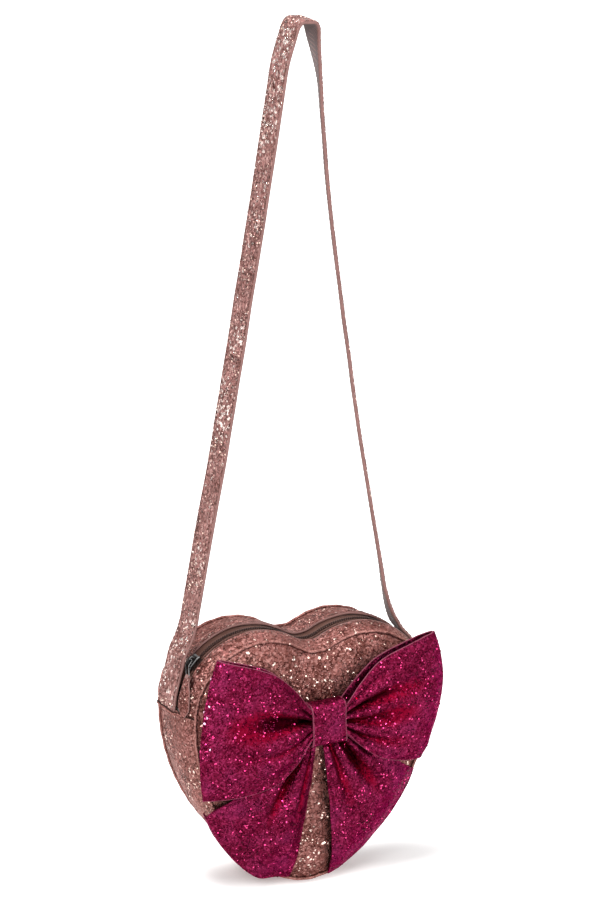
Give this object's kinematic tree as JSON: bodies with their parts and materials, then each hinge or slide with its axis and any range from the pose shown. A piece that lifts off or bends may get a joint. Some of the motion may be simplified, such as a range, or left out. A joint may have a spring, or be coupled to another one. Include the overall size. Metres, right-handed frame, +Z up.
{
  "type": "shoulder bag",
  "caption": "Heart-shaped zip-top shoulder bag with padded walls, a sewn bow across its front and a fixed-length strap sewn into the side seams.",
  "frame": {"origin": "middle of the underside of the strap's top, where it rests on a shoulder or a hook", "axes": "+Z up along the hanging strap; the bow faces -Y; the zip slider and its tab are on the -X side"},
  "size_m": [0.1854, 0.0973, 0.575],
  "materials": {
    "rose_glitter": "rose-gold glitter fabric, metallic sparkle",
    "seam_brown": "turned seam edge, dull",
    "padding": "soft padding, matt",
    "lining_cloth": "plain woven lining, matt",
    "zip_tape": "brown satin tape, slight sheen",
    "zip_teeth": "dark nylon coil",
    "gunmetal": "dark polished metal",
    "strap_backing": "plain mauve-brown backing, matt",
    "magenta_glitter": "magenta glitter fabric, metallic sparkle"
  },
  "bodies": {
    "strap": {"strap_face": "rose_glitter", "strap_backing": "strap_backing"},
    "bag": {"front_panel": "rose_glitter", "back_panel": "rose_glitter", "gusset_lower": "rose_glitter", "zip_gusset_front": "rose_glitter", "zip_gusset_back": "rose_glitter", "front_piping": "seam_brown", "back_piping": "seam_brown", "front_foam": "padding", "back_foam": "padding", "gusset_foam": "padding", "lining_front": "lining_cloth", "lining_back": "lining_cloth", "lining_gusset": "lining_cloth", "lining_zip_front": "lining_cloth", "lining_zip_back": "lining_cloth", "zip_tape_front": "zip_tape", "zip_tape_back": "zip_tape", "zip_coil_front": "zip_teeth", "zip_coil_back": "zip_teeth", "zip_stop_left": "gunmetal", "zip_stop_right": "gunmetal", "bow_knot": "magenta_glitter", "bow_loop_left": "magenta_glitter", "bow_loop_right": "magenta_glitter", "bow_tail_left": "magenta_glitter", "bow_tail_right": "magenta_glitter"},
    "slider": {"zip_slider": "gunmetal", "zip_bridge": "gunmetal"},
    "pull": {"zip_pull_loop": "gunmetal", "zip_pull_tab": "rose_glitter"}
  },
  "joints": [
    {"name": "bag_swing", "type": "hinge", "parent": "strap", "child": "bag", "pos_m": [0.016, -0.0115, -0.449], "axis": [1, 0, 0], "range_deg": [0, 75]},
    {"name": "slider_travel", "type": "hinge", "parent": "bag", "child": "slider", "pos_m": [-0.0205, -0.01, -0.449], "axis": [0, 1, 0], "range_deg": [0, 75]},
    {"name": "pull_swing", "type": "hinge", "parent": "slider", "child": "pull", "pos_m": [-0.06396, -0.01, -0.41505], "axis": [0, 1, 0], "range_deg": [0, 165]}
  ]
}
